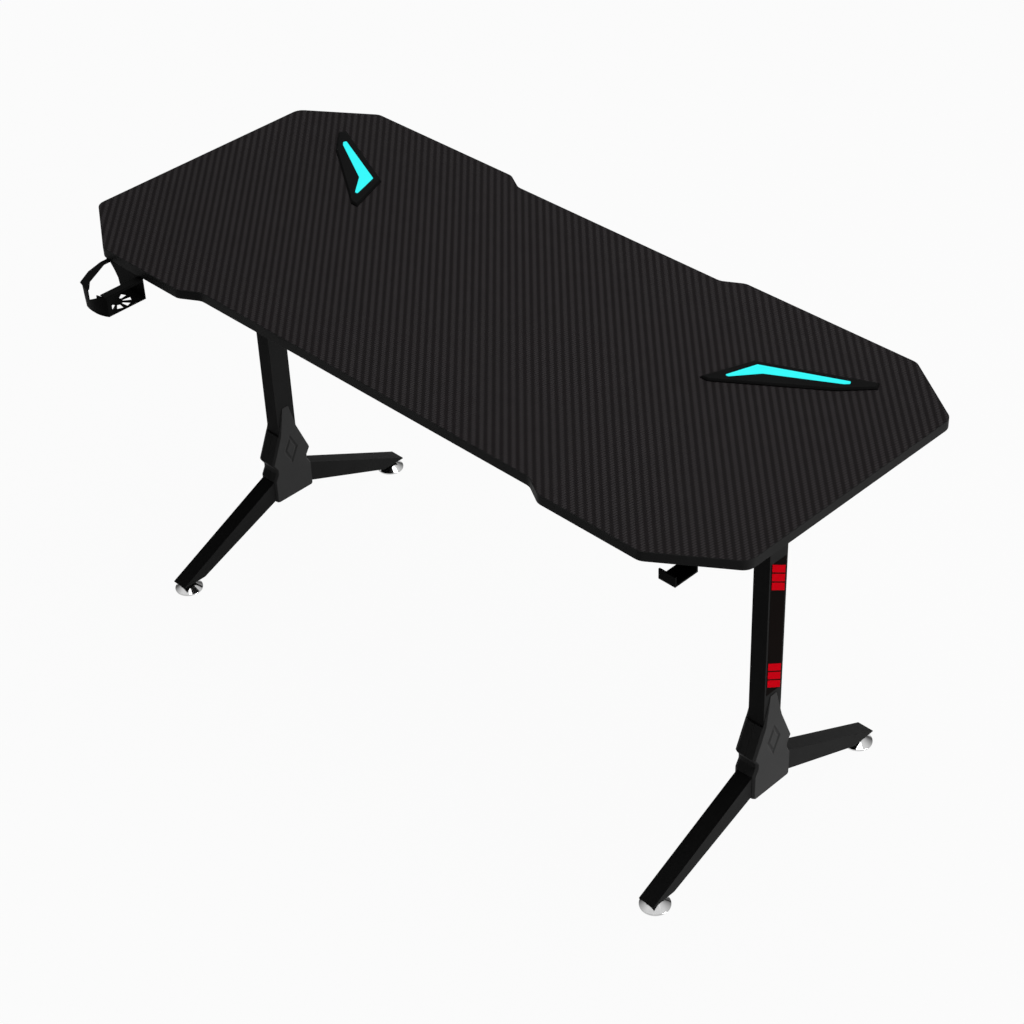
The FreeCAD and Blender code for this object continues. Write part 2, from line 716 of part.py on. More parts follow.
def make_stripes():
    """Two groups of slanted stripes on the right column's strip."""
    face = LEG_X + COLUMN_WIDTH / 2 + FILM_THICK
    half = STRIPE_WIDTH / 2
    tilt = STRIPE_DROP / 2
    rise = STRIPE_HEIGHT / 2
    stripes = []
    for group in (STRIPE_LOW_GROUP, STRIPE_TOP_GROUP):
        for i in range(STRIPE_COUNT):
            mid = group + (i - (STRIPE_COUNT - 1) / 2) * STRIPE_PITCH
            corners = [(-half, mid + tilt - rise), (half, mid - tilt - rise),
                       (half, mid - tilt + rise), (-half, mid + tilt + rise)]
            stripes.append(plate_yz(corners, face, face + STRIPE_THICK))
    return Part.makeCompound(stripes)


def glide_places():
    """Name ending, x and y of each glide."""
    x = LEG_X
    y = GLIDE_Y
    return [("front_left", -x, -y), ("front_right", x, -y), ("rear_left", -x, y), ("rear_right", x, y)]


def make_studs():
    """Threaded studs fixed in the arms, each with a hexagon shoulder against the arm's toe."""
    studs = []
    for _, x, y in glide_places():
        shank = rod(STUD_RADIUS, vec(x, y, STUD_FOOT), vec(x, y, ARM_CLEAR_HEIGHT + STUD_BITE))
        corner = STUD_HEX / 2 / math.cos(math.pi / 6)
        angles = [math.pi / 3 * i for i in range(6)]
        hexagon = [(x + corner * math.cos(a), y + corner * math.sin(a)) for a in angles]
        studs.append(join([shank, plate_xy(hexagon, BELL_HEIGHT, ARM_CLEAR_HEIGHT)]))
    return Part.makeCompound(studs)


def make_bell(x, y):
    """A bell-shaped foot, bored for its stud and hollowed below for its pad."""
    profile = [(0, BELL_FLOOR_GAP), (BELL_RADIUS, BELL_FLOOR_GAP), (BELL_RADIUS, BELL_FLOOR_GAP + BELL_RIM),
               (BELL_HUB_RADIUS, BELL_HEIGHT), (0, BELL_HEIGHT)]
    face = Part.Face(flat_wire(profile, lambda r, z: vec(x + r, y, z)))
    bell = face.revolve(vec(x, y, 0), vec(0, 0, 1), 360)
    bore = rod(STUD_RADIUS + CLEARANCE, vec(x, y, -OVERRUN), vec(x, y, BELL_HEIGHT + OVERRUN))
    seat = rod(PAD_RADIUS + CLEARANCE, vec(x, y, -OVERRUN), vec(x, y, PAD_THICK))
    return bell.cut(bore).cut(seat)


def make_pad(x, y):
    return rod(PAD_RADIUS, vec(x, y, 0), vec(x, y, PAD_THICK))


def cup_plan(left, right, back, front):
    """The cup holder's floor outline: straight sides and back, and a gently bowed front."""
    a, b, c, d = (vec(*p, 0) for p in ((left, back), (right, back), (right, front), (left, front)))
    bow = Part.Arc(c, vec((left + right) / 2, front - CUP_BULGE, 0), d).toShape()
    sides = [Part.LineSegment(p, q).toShape() for p, q in ((d, a), (a, b), (b, c))]
    return Part.Face(Part.Wire(sides + [bow]))


def cup_slots(x, y, floor):
    """A fan of wedge-shaped slots round the middle of the floor, open to the right."""
    half = math.pi / SLOT_COUNT * SLOT_ANGLE_SHARE
    slots = []
    for i in range(SLOT_OPEN):
        mid = 2 * math.pi * (i - SLOT_LAG + 1 / 2) / SLOT_COUNT
        polar = [(SLOT_INNER, mid - half), (SLOT_OUTER, mid - half), (SLOT_OUTER, mid + half),
                 (SLOT_INNER, mid + half)]
        corners = [(x + r * math.cos(a), y + r * math.sin(a)) for r, a in polar]
        slots.append(plate_xy(corners, floor - CUP_SHEET - OVERRUN, floor + OVERRUN))
    return slots


def bow_at(x, left, right, front):
    """Where the bowed front wall's outer face runs at x."""
    half = (right - left) / 2
    radius = (half ** 2 + CUP_BULGE ** 2) / (2 * CUP_BULGE)
    return front - CUP_BULGE + radius - math.sqrt(radius ** 2 - (x - left - half) ** 2)


def cup_front(left, right, back, front, low, top):
    """The bowed front wall, narrower at its foot, with a slanting gap from its top edge."""
    plan = cup_plan(left, right, back, front)
    plan.translate(vec(0, 0, low))
    shell = plan.extrude(vec(0, 0, top - low))
    behind = shell.copy()
    behind.translate(vec(0, CUP_SHEET, 0))
    toe = front - CUP_BULGE - OVERRUN
    gap = left + CUP_GAP_INSET
    floor = low + CUP_SHEET
    opening = plate_xz([(gap, top + OVERRUN), (gap, floor + CUP_GAP_LOW),
                        (gap + CUP_GAP, floor + CUP_GAP_HIGH), (gap + CUP_GAP, top + OVERRUN)], toe, back)
    wedge = plate_xz([(left, low), (left + CUP_TAPER, low), (left, top)], toe, back)
    return shell.cut(behind).cut(opening).cut(wedge)


def cup_side(right, back, front, low, top):
    """The right side: a post at the front and a slim lintel, with a rounded corner between them."""
    plate = box(right - CUP_SHEET, right, front, back, low, top)
    head = top - CUP_LINTEL
    jamb = front + CUP_POST
    x0, x1 = right - CUP_SHEET - OVERRUN, right + OVERRUN
    floor = low + CUP_SHEET
    tall = box(x0, x1, jamb + CUP_ARCH, back, floor, head)
    wide = box(x0, x1, jamb, back, floor, head - CUP_ARCH)
    mid_y, mid_z = jamb + CUP_ARCH, head - CUP_ARCH
    corner = rod(CUP_ARCH, vec(x0, mid_y, mid_z), vec(x1, mid_y, mid_z))
    return plate.cut(join([tall, wide, corner]))


def make_cup_basket():
    """Slotted floor, bowed front, open right side, flared back and the tab screwed under the top."""
    left, right, back, front, floor, rim = cup_frame()
    low = floor - CUP_SHEET
    post = rim - CUP_SHEET
    plan = cup_plan(left + CUP_TAPER, right, back, front)
    plan.translate(vec(0, 0, low))
    plate = plan.extrude(vec(0, 0, CUP_SHEET))
    for slot in cup_slots((left + CUP_TAPER + right) / 2, (back + front) / 2, floor):
        plate = plate.cut(slot)
    wall = cup_front(left, right, back, front, low, post)
    side = cup_side(right, back, front, low, post)
    tab = UNDERSIDE - CUP_SHEET
    flared = left - CUP_FLARE
    heel = left - CUP_REAR_TOE
    run = flared + CUP_BAND_REAR - heel
    edge = [(heel + across * run, low + up * (post - low)) for across, up in CUP_EDGE_SHARES]
    rear = plate_xz([(heel, low), (right, low), (right, UNDERSIDE), (left, UNDERSIDE), (left, tab),
                     (flared, tab), (flared, post), (heel + run, post)] + edge, back, back + CUP_SHEET)
    shelf = box(left, right, back, back + CUP_TAB, tab, UNDERSIDE)
    return screw_holes(join([plate, wall, side, rear, shelf]))


def make_cup_rims():
    """Flat bands along the top of the holder: the flared left one and the straight right one."""
    left, right, back, front, _, rim = cup_frame()
    low = rim - CUP_SHEET
    flared = left - CUP_FLARE
    knee = back - CUP_LIP
    corner = left - CUP_CORNER
    run, drop = corner - flared, front - knee
    long = math.hypot(run, drop)
    bow_x = (flared + corner) / 2 + CUP_BAND_BOW * drop / long
    bow_y = (knee + front) / 2 - CUP_BAND_BOW * run / long
    gap = left + CUP_GAP_INSET
    toe = bow_at(gap, left, right, front)
    outer = [(flared, back), (flared, knee), (bow_x, bow_y), (corner, front), (gap, toe)]
    inner = [(gap, toe + CUP_BAND_TOE), (corner + CUP_BAND_FRONT, front + CUP_LIP),
             (flared + CUP_BAND_REAR, knee), (flared + CUP_BAND_REAR, back)]
    left_band = plate_xy(outer + inner, low, rim)
    right_band = box(right - CUP_RIM_WIDTH, right, front - CUP_SHEET, back, low, rim)
    return left_band, right_band


def make_hook():
    """A bent strap: tab under the top, upright, arm and raised lip."""
    back, front, arm = hook_frame()
    tab = UNDERSIDE - HOOK_SHEET
    low = arm - HOOK_SHEET
    profile = [(back, UNDERSIDE), (back, low), (front, low), (front, arm + HOOK_LIP),
               (front + HOOK_SHEET, arm + HOOK_LIP), (front + HOOK_SHEET, arm), (back - HOOK_SHEET, arm),
               (back - HOOK_SHEET, tab), (front, tab), (front, UNDERSIDE)]
    half = HOOK_WIDTH / 2
    return screw_holes(plate_yz(profile, HOOK_X - half, HOOK_X + half))


def save_pair(name, shape):
    """The right-hand piece and its mirror image on the left."""
    save(name + "_right", shape)
    save(name + "_left", mirror_x(shape))


def save_top():
    core, laminate, band = make_top()
    save("top_core", core)
    save("top_laminate", laminate)
    save("top_edge_band", band)


def save_lights():
    save_pair("light_bezel", make_bezel())
    save_pair("light_lens", make_lens())
    save_pair("light_tray", make_tray())
    save_pair("light_board", make_led_board())
    save_pair("light_inlet", make_inlet())


def save_under_frame():
    save_pair("channel", make_channel())
    save("rail_front", make_rail(-1))
    save("rail_rear", make_rail(1))
    save("rail_bolts", make_rail_bolts())
    save("wood_screws", make_screws())


def save_legs():
    save_pair("column", make_column())
    rear = make_arm()
    save_pair("arm_rear", rear)
    save_pair("arm_front", mirror_y(rear))
    save("arm_bolts", make_arm_bolts())
    cover = make_cover()
    save_pair("cover_outer", cover)
    save_pair("cover_inner", flip_on_leg(cover))
    save_pair("stripe_film", make_film())
    save_pair("stripes", make_stripes())


def save_glides():
    save("glide_studs", make_studs())
    for ending, x, y in glide_places():
        save("glide_bell_" + ending, make_bell(x, y))
        save("glide_pad_" + ending, make_pad(x, y))


def save_extras():
    save("cup_basket", make_cup_basket())
    left_band, right_band = make_cup_rims()
    save("cup_rim_left", left_band)
    save("cup_rim_right", right_band)
    save("headset_hook", make_hook())


os.makedirs("parts", exist_ok=True)
save_top()
save_lights()
save_under_frame()
save_legs()
save_glides()
save_extras()
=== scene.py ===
"""Looks of the gaming desk: materials, small hardware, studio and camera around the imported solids.

Metres, in the same frame as the solids: floor at Z 0, +X to the sitter's right, +Y to the rear.
"""
import bpy
import bmesh
import json
import math
from mathutils import Euler, Matrix, Vector


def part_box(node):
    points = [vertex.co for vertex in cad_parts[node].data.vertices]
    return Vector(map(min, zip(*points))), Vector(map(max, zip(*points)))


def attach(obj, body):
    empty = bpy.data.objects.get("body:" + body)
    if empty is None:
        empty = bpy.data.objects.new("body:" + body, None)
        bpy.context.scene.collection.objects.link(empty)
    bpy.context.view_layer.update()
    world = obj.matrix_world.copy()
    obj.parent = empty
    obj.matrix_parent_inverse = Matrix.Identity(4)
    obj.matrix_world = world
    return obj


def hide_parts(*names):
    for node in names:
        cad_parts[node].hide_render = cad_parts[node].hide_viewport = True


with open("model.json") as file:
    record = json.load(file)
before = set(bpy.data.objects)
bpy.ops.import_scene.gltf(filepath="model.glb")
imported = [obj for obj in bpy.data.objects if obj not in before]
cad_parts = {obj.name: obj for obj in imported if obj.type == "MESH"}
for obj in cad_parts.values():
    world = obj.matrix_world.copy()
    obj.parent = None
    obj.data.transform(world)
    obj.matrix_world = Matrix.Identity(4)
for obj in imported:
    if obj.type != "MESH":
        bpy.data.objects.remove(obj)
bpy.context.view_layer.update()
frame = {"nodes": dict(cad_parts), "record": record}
NODES = frame["nodes"]
GLIDES = ("front_left", "front_right", "rear_left", "rear_right")

# Camera of the photograph, for a square image
CAMERA_PLACE = (2.2045, -2.0383, 2.634)
CAMERA_AZIMUTH = 46.359
CAMERA_ELEVATION = 37.376
CAMERA_ROLL = -2.470
CAMERA_REACH = 100.0
SENSOR = 36.0
IMAGE = 1024.0
FOCAL_PIXELS = 2336.3

# Studio floor, and the share of it that is white to the camera
FLOOR_SIZE = 60.0
FLOOR_TONE = 0.3
FLOOR_ROUGH = 0.9
FLOOR_WHITE_SHARE = 0.955

# Studio world, where 1 is white: fill light, and the dome that gloss shows, brighter upwards from its foot
FILL = 0.04
DOME_FOOT = 0.1
DOME_RISE = 1.6
DOME_START = -0.3

# Softboxes: place, target, size, power in watts, and whether gloss shows them
SOFTBOXES = {
    "softbox_above": ((0.3, 0.4, 3.2), (0, 0, 0.7), (3.0, 2.4), 84.0, True),
    "softbox_right": ((4.8, 0.7, 0.5), (0.3, 0, 0.35), (2.4, 0.9), 168.0, True),
    "softbox_rear": ((1.6, 4.4, 1.0), (0, 0, 0.3), (3.0, 1.2), 98.0, False),
    "softbox_left": ((-5.0, 1.2, 0.5), (-0.3, 0, 0.35), (2.4, 0.9), 130.0, False),
    "softbox_front": ((-0.8, -3.4, 1.6), (0, 0, 0.5), (2.4, 1.8), 3.0, True),
}

# Materials: a cloud is the size of a drift in tone, a smudge that of a drift in gloss, a pair the two ends
# of a drift, and a relief the depth of a bump and its strength
PLAIN_DETAIL = 2.0
FINE_DETAIL = 3.0

# Carbon weave: tows over two and under two, the weft tows painted darker than the warp as painted sheen
# and shade, and each tow painted darker towards its sides as painted shade
TOW = 0.0040
FIBRE = 0.00035
TWILL_STEPS = 4.0
TWILL_OVER = 1.5
TOW_FALL = 1.9
FIBRE_TONES = (0.9, 1.0)
# Share of the warp's tone that the weft tows get: painted shade
WEFT_PAINTED_SHADE = 0.30
WEAVE_COLOURS = ((0.0034, 0.0026, 0.0028, 1), (0.031, 0.0282, 0.0292, 1))
WEAVE_CLOUD = 0.03
WEAVE_CLOUD_TONES = (0.85, 1.1)
WEAVE_SMUDGE = 0.006
WEAVE_ROUGH = (0.42, 0.55)
WEAVE_SPECULAR = 0.015
WEAVE_RELIEF = (0.00012, 0.6)

# Moulded and coated surfaces: tones, size of the grain, roughness, specular level, depth of the grain
GRAIN_DEPTH = 0.00006
SMOOTH_DEPTH = 0.00001
PLASTICS = {
    "edge_band": ((0.008, 0.013), 0.0009, 0.5, 0.03, GRAIN_DEPTH),
    "bezel": ((0.0026, 0.0046), 0.0006, 0.4, 0.02, SMOOTH_DEPTH),
    "tray": ((0.012, 0.018), 0.0008, 0.55, 0.3, GRAIN_DEPTH),
    "socket": ((0.012, 0.018), 0.0008, 0.45, 0.3, GRAIN_DEPTH),
    "frame_paint": ((0.0115, 0.0155), 0.0007, 0.5, 0.012, GRAIN_DEPTH),
    "holder_paint": ((0.0024, 0.0044), 0.0007, 0.5, 0.012, GRAIN_DEPTH),
    "bolt_steel": ((0.012, 0.022), 0.0005, 0.4, 0.5, GRAIN_DEPTH),
    "cover_plastic": ((0.032, 0.038), 0.0006, 0.55, 0.03, GRAIN_DEPTH),
    "pad_rubber": ((0.015, 0.025), 0.001, 0.8, 0.2, GRAIN_DEPTH),
}
PLASTIC_CLOUD = 0.05
PLASTIC_CLOUD_DETAIL = 4.0
PLASTIC_SMUDGE = 0.018
PLASTIC_ROUGH_DRIFT = 0.06
PLASTIC_STRENGTH = 0.5

# Black face of the particle board
BOARD_SPECK = 0.0022
BOARD_TONES = (0.008, 0.02)
BOARD_SMUDGE = 0.02
BOARD_ROUGH = (0.5, 0.65)
BOARD_SPECULAR = 0.3
BOARD_PEBBLE = 0.0012
BOARD_RELIEF = (0.00008, 0.5)

# Lit lenses
LENS_BASE = (0.004, 0.05, 0.05, 1)
LENS_GLOWS = ((0.020, 0.96, 0.97, 1), (0.045, 1.0, 1.0, 1))
LENS_STRENGTH = 0.92
LENS_CLOUD = 0.02
LENS_DETAIL = 1.0
LENS_ROUGH = (0.3, 0.4)
LENS_SPECULAR = 0.05

# Chrome of the bells, with turning marks that are finer along Z
CHROME_TONES = (0.56, 0.66)
CHROME_CLOUD = 0.01
CHROME_MARK = 0.0008
CHROME_STRETCH = (1, 1, 5)
CHROME_ROUGH = (0.06, 0.15)
CHROME_RELIEF = (0.00001, 0.3)

# Zinc of the studs, with a thread's ridges and painted shade in the thread's grooves
THREAD = 0.00125
STUD_TONES_WITH_PAINTED_SHADE = (0.30, 0.58)
STUD_SMUDGE = 0.002
STUD_ROUGH = (0.25, 0.4)
STUD_RELIEF = (0.0003, 0.6)

# Film on the columns and the red print on it, whose dots are counted in a metre
FILM_COLOURS = ((0.0024, 0.0008, 0.0005, 1), (0.0012, 0.0006, 0.0004, 1))
FILM_CLOUD = 0.08
FILM_ROUGH = (0.30, 0.42)
STRIPE_COLOURS = ((0.50, 0.0, 0.006, 1), (0.38, 0.0, 0.003, 1))
STRIPE_DOTS = 1800.0
STRIPE_ROUGH = (0.40, 0.52)
PRINT_SMUDGE = 0.015
PRINT_SPECULAR = 0.006

# White boards under the lenses, with faint traces
TRACE_COLOURS = ((0.72, 0.72, 0.72, 1), (0.78, 0.82, 0.78, 1))
TRACE_SCALE = 60.0
TRACE_BEND = 2.0
TRACE_ROUGH = (0.4, 0.5)

# Edge rounding of each slot's solids, and the angles at which faces count as flat, sharp and smooth
ROUNDING = {"frame_paint": 0.0012, "cover_plastic": 0.0022, "edge_band": 0.0004, "holder_paint": 0.0004,
            "bezel": 0.0004, "lens": 0.0004, "socket": 0.0004, "pad_rubber": 0.0004, "bell_chrome": 0.0006,
            "stud_steel": 0.0004, "bolt_steel": 0.0003}
ROUNDING_STEPS = 3
WELD = 0.00001
FLAT_ANGLE = math.radians(0.3)
SHARP_ANGLE = math.radians(22)
SMOOTH_ANGLE = math.radians(50)

# Glide bells, over the solids of the same name
BELL_RADIUS = 0.025
BELL_RIM = 0.0026
BELL_HEIGHT = 0.0135
BELL_HUB = 0.009
BELL_LIFT = 0.0006
BELL_BORE = 0.0043
SEAT_RADIUS = 0.0223
SEAT_HEIGHT = 0.0024
LATHE_STEPS = 72

# Screw and bolt heads: outline, size as a share of the head's radius, height as a share of the head's
SCREW_HEAD = 0.0026
SCREW_ROWS = [("round", 1.0, 0.0), ("round", 1.0, 0.35), ("round", 0.9, 0.75), ("round", 0.62, 1.0),
              ("cross", 0.56, 1.0), ("cross", 0.44, 0.4)]
BOLT_HEAD = 0.0040
BOLT_ROWS = [("round", 1.0, 0.0), ("round", 1.0, 0.2), ("hexagon", 0.8, 0.24), ("hexagon", 0.8, 0.85),
             ("round", 0.72, 1.0), ("round", 0.5, 0.94)]
NUT_HEAD = 0.0050
NUT_ROWS = [("round", 0.5, 0.0), ("hexagon", 0.8, 0.0), ("hexagon", 0.86, 0.1), ("hexagon", 0.86, 0.9),
            ("round", 0.78, 1.0), ("round", 0.5, 1.0), ("round", 0.46, 0.9)]
BOLT_HEAD_SHARE = 0.9
CROSS_SLIM_SHARE = 0.3
HEXAGON_HALF = math.pi / 6
HEAD_STEPS = 48

# Shanks of the screws and bolts: radius, and the tip as a share of it
SCREW_SHANK = 0.0022
SCREW_TIP_SHARE = 0.2
BOLT_SHANK = 0.0030
BOLT_TIP_SHARE = 0.9


def add(tree, kind, inputs=None, **settings):
    """A new shader node; inputs are plain values or sockets to link."""
    made = tree.nodes.new("ShaderNode" + kind)
    for name, value in settings.items():
        setattr(made, name, value)
    for key, value in (inputs or {}).items():
        if isinstance(value, bpy.types.NodeSocket):
            tree.links.new(value, made.inputs[key])
        else:
            made.inputs[key].default_value = value
    return made


def maths(tree, operation, *values):
    made = add(tree, "Math", dict(enumerate(values)), operation=operation)
    return made.outputs[0]


def pick(tree, share, low, high):
    """A number between low and high."""
    return add(tree, "Mix", {0: share, 2: low, 3: high}).outputs[0]


def blend(tree, share, low, high):
    """A colour between low and high."""
    made = add(tree, "Mix", {0: share, 6: low, 7: high}, data_type="RGBA")
    return made.outputs[2]


def spread(tree, value, low, high):
    """The value, from 0 to 1, spread over low to high."""
    made = add(tree, "MapRange", {"Value": value, "To Min": low, "To Max": high})
    return made.outputs["Result"]


def noise(tree, place, size, detail=PLAIN_DETAIL):
    made = add(tree, "TexNoise", {"Vector": place, "Scale": 1 / size, "Detail": detail})
    return made.outputs["Fac"]


def grey(level):
    return (level, level, level, 1)


def greys(levels):
    return [grey(level) for level in levels]


def new_material(name):
    """A material, its node tree, its main shader and the surface's place in metres."""
    material = bpy.data.materials.new(name)
    material.use_nodes = True
    tree = material.node_tree
    shader = tree.nodes["Principled BSDF"]
    place = add(tree, "TexCoord").outputs["Object"]
    return material, tree, shader, place


def tint(tree, shader, share, colours):
    """Base colour that runs between two colours."""
    tree.links.new(blend(tree, share, *colours), shader.inputs["Base Color"])


def roughen(tree, shader, share, limits):
    """Roughness that runs between two limits."""
    tree.links.new(spread(tree, share, *limits), shader.inputs["Roughness"])


def set_specular(shader, level):
    shader.inputs["Specular IOR Level"].default_value = level


def bump(tree, shader, height, depth, strength):
    made = add(tree, "Bump", {"Height": height, "Distance": depth, "Strength": strength})
    tree.links.new(made.outputs["Normal"], shader.inputs["Normal"])


def off_middle(tree, cells):
    """How far a place is from the middle of its cell, in cells."""
    return maths(tree, "ABSOLUTE", maths(tree, "SUBTRACT", maths(tree, "FRACT", cells), 0.5))


def twill(tree, place):
    """Where the warp lies on top, the crown of the tow on top, and the place across its fibres."""
    axes = add(tree, "SeparateXYZ", {0: place})
    across = maths(tree, "DIVIDE", axes.outputs[0], TOW)
    along = maths(tree, "DIVIDE", axes.outputs[1], TOW)
    cells = maths(tree, "ADD", maths(tree, "FLOOR", across), maths(tree, "FLOOR", along))
    warp = maths(tree, "LESS_THAN", maths(tree, "FLOORED_MODULO", cells, TWILL_STEPS), TWILL_OVER)
    aside = pick(tree, warp, off_middle(tree, along), off_middle(tree, across))
    crown = maths(tree, "SQRT", maths(tree, "SUBTRACT", 1.0, maths(tree, "MULTIPLY", aside, TOW_FALL)))
    lines = pick(tree, warp, axes.outputs[1], axes.outputs[0])
    return warp, crown, lines


def carbon_material(name):
    """Twill of flat tows along X and Y, so that ribs run at 45 degrees, with painted shade on the weft
    tows and on the sides of each tow.
    """
    material, tree, shader, place = new_material(name)
    warp, crown, lines = twill(tree, place)
    wave = maths(tree, "SINE", maths(tree, "MULTIPLY", lines, 2 * math.pi / FIBRE))
    fibre = spread(tree, maths(tree, "MULTIPLY_ADD", wave, 0.5, 0.5), *FIBRE_TONES)
    cloud = spread(tree, noise(tree, place, WEAVE_CLOUD), *WEAVE_CLOUD_TONES)
    # The crown paints each tow darker towards its sides: painted shade.
    tone = maths(tree, "MULTIPLY", maths(tree, "MULTIPLY", crown, fibre), cloud)
    # Warp tows keep their tone and weft tows are painted darker: painted sheen and shade.
    lit = pick(tree, warp, WEFT_PAINTED_SHADE, 1.0)
    tint(tree, shader, maths(tree, "MULTIPLY", tone, lit), WEAVE_COLOURS)
    roughen(tree, shader, noise(tree, place, WEAVE_SMUDGE), WEAVE_ROUGH)
    set_specular(shader, WEAVE_SPECULAR)
    bump(tree, shader, crown, *WEAVE_RELIEF)
    return material


def plastic_material(name, tones, grain, rough, specular, depth):
    """Moulded or coated surface: fine grain, faint cloudiness in tone and gloss."""
    material, tree, shader, place = new_material(name)
    tint(tree, shader, noise(tree, place, PLASTIC_CLOUD, PLASTIC_CLOUD_DETAIL), greys(tones))
    smudge = noise(tree, place, PLASTIC_SMUDGE, FINE_DETAIL)
    roughen(tree, shader, smudge, (rough - PLASTIC_ROUGH_DRIFT, rough + PLASTIC_ROUGH_DRIFT))
    set_specular(shader, specular)
    bump(tree, shader, noise(tree, place, grain, FINE_DETAIL), depth, PLASTIC_STRENGTH)
    return material


def board_material(name):
    """Black melamine face over particle board: speckled, slightly pebbled."""
    material, tree, shader, place = new_material(name)
    tint(tree, shader, noise(tree, place, BOARD_SPECK, FINE_DETAIL), greys(BOARD_TONES))
    roughen(tree, shader, noise(tree, place, BOARD_SMUDGE), BOARD_ROUGH)
    set_specular(shader, BOARD_SPECULAR)
    bump(tree, shader, noise(tree, place, BOARD_PEBBLE), *BOARD_RELIEF)
    return material


def lens_material(name):
    """A diffusing cover lit from behind, its glow drifting a little paler in soft random patches."""
    material, tree, shader, place = new_material(name)
    glow = noise(tree, place, LENS_CLOUD, LENS_DETAIL)
    shader.inputs["Base Color"].default_value = LENS_BASE
    tree.links.new(blend(tree, glow, *LENS_GLOWS), shader.inputs["Emission Color"])
    shader.inputs["Emission Strength"].default_value = LENS_STRENGTH
    roughen(tree, shader, glow, LENS_ROUGH)
    set_specular(shader, LENS_SPECULAR)
    return material


def chrome_material(name):
    """Plated metal with fine turning marks round its own axis."""
    material, tree, shader, place = new_material(name)
    marks = add(tree, "VectorMath", {0: place, 1: CHROME_STRETCH}, operation="MULTIPLY").outputs[0]
    scratch = noise(tree, marks, CHROME_MARK)
    tint(tree, shader, noise(tree, place, CHROME_CLOUD), greys(CHROME_TONES))
    roughen(tree, shader, scratch, CHROME_ROUGH)
    shader.inputs["Metallic"].default_value = 1.0
    bump(tree, shader, scratch, *CHROME_RELIEF)
    return material


def stud_material(name):
    """Zinc-plated steel with a thread's ridges along Z, painted darker in the grooves as painted shade."""
    material, tree, shader, place = new_material(name)
    up = add(tree, "SeparateXYZ", {0: place}).outputs[2]
    ridge = maths(tree, "PINGPONG", maths(tree, "DIVIDE", up, THREAD / 2), 1.0)
    # The tone follows the ridges, darker in the grooves: painted shade.
    tint(tree, shader, ridge, greys(STUD_TONES_WITH_PAINTED_SHADE))
    roughen(tree, shader, noise(tree, place, STUD_SMUDGE), STUD_ROUGH)
    shader.inputs["Metallic"].default_value = 1.0
    bump(tree, shader, ridge, *STUD_RELIEF)
    return material


def film_material(name):
    """Smooth dark film, its tone drifting from warm black to black."""
    material, tree, shader, place = new_material(name)
    tint(tree, shader, noise(tree, place, FILM_CLOUD), FILM_COLOURS)
    roughen(tree, shader, noise(tree, place, PRINT_SMUDGE), FILM_ROUGH)
    set_specular(shader, PRINT_SPECULAR)
    return material


def stripe_material(name):
    """Red print with a faint screen of dots."""
    material, tree, shader, place = new_material(name)
    dots = add(tree, "TexVoronoi", {"Vector": place, "Scale": STRIPE_DOTS}).outputs["Distance"]
    tint(tree, shader, dots, STRIPE_COLOURS)
    roughen(tree, shader, noise(tree, place, PRINT_SMUDGE), STRIPE_ROUGH)
    set_specular(shader, PRINT_SPECULAR)
    return material


def circuit_material(name):
    """White solder mask with faint traces."""
    material, tree, shader, place = new_material(name)
    wave = add(tree, "TexWave", {"Vector": place, "Scale": TRACE_SCALE, "Distortion": TRACE_BEND})
    trace = wave.outputs["Fac"]
    tint(tree, shader, trace, TRACE_COLOURS)
    roughen(tree, shader, trace, TRACE_ROUGH)
    return material


def make_materials():
    """One material for each slot of the record."""
    builders = {"board": board_material, "carbon_laminate": carbon_material, "lens": lens_material,
                "film": film_material, "stripe_red": stripe_material, "circuit_board": circuit_material,
                "stud_steel": stud_material, "bell_chrome": chrome_material}
    made = {slot: build(slot) for slot, build in builders.items()}
    for slot, look in PLASTICS.items():
        made[slot] = plastic_material(slot, *look)
    return made


def shading_group():
    """Geometry nodes that shade curved faces smooth and leave steep edges sharp."""
    group = bpy.data.node_groups.new("soft_shading", "GeometryNodeTree")
    for way in ("INPUT", "OUTPUT"):
        group.interface.new_socket("Geometry", in_out=way, socket_type="NodeSocketGeometry")
    start = group.nodes.new("NodeGroupInput")
    end = group.nodes.new("NodeGroupOutput")
    plain = group.nodes.new("GeometryNodeRemoveAttribute")
    plain.inputs["Name"].default_value = "custom_normal"
    faces = group.nodes.new("GeometryNodeSetShadeSmooth")
    faces.domain = "FACE"
    edges = group.nodes.new("GeometryNodeSetShadeSmooth")
    edges.domain = "EDGE"
    edges.inputs["Shade Smooth"].default_value = False
    angle = group.nodes.new("GeometryNodeInputMeshEdgeAngle")
    steep = group.nodes.new("FunctionNodeCompare")
    steep.inputs["B"].default_value = SMOOTH_ANGLE
    group.links.new(angle.outputs["Unsigned Angle"], steep.inputs["A"])
    group.links.new(steep.outputs[0], edges.inputs["Selection"])
    for a, b in ((start, plain), (plain, faces), (faces, edges), (edges, end)):
        group.links.new(a.outputs[0], b.inputs[0])
    return group


def weld(piece, name):
    """Joins the points of a piece that coincide."""
    joined = piece.modifiers.new(name, "WELD")
    joined.merge_threshold = WELD


def shade(piece, shading):
    """Shades the curves of a piece smooth and its flats flat."""
    smooth = piece.modifiers.new("soft_shading", "NODES")
    smooth.node_group = shading
    weighted = piece.modifiers.new("flat_shading", "WEIGHTED_NORMAL")
    weighted.keep_sharp = True


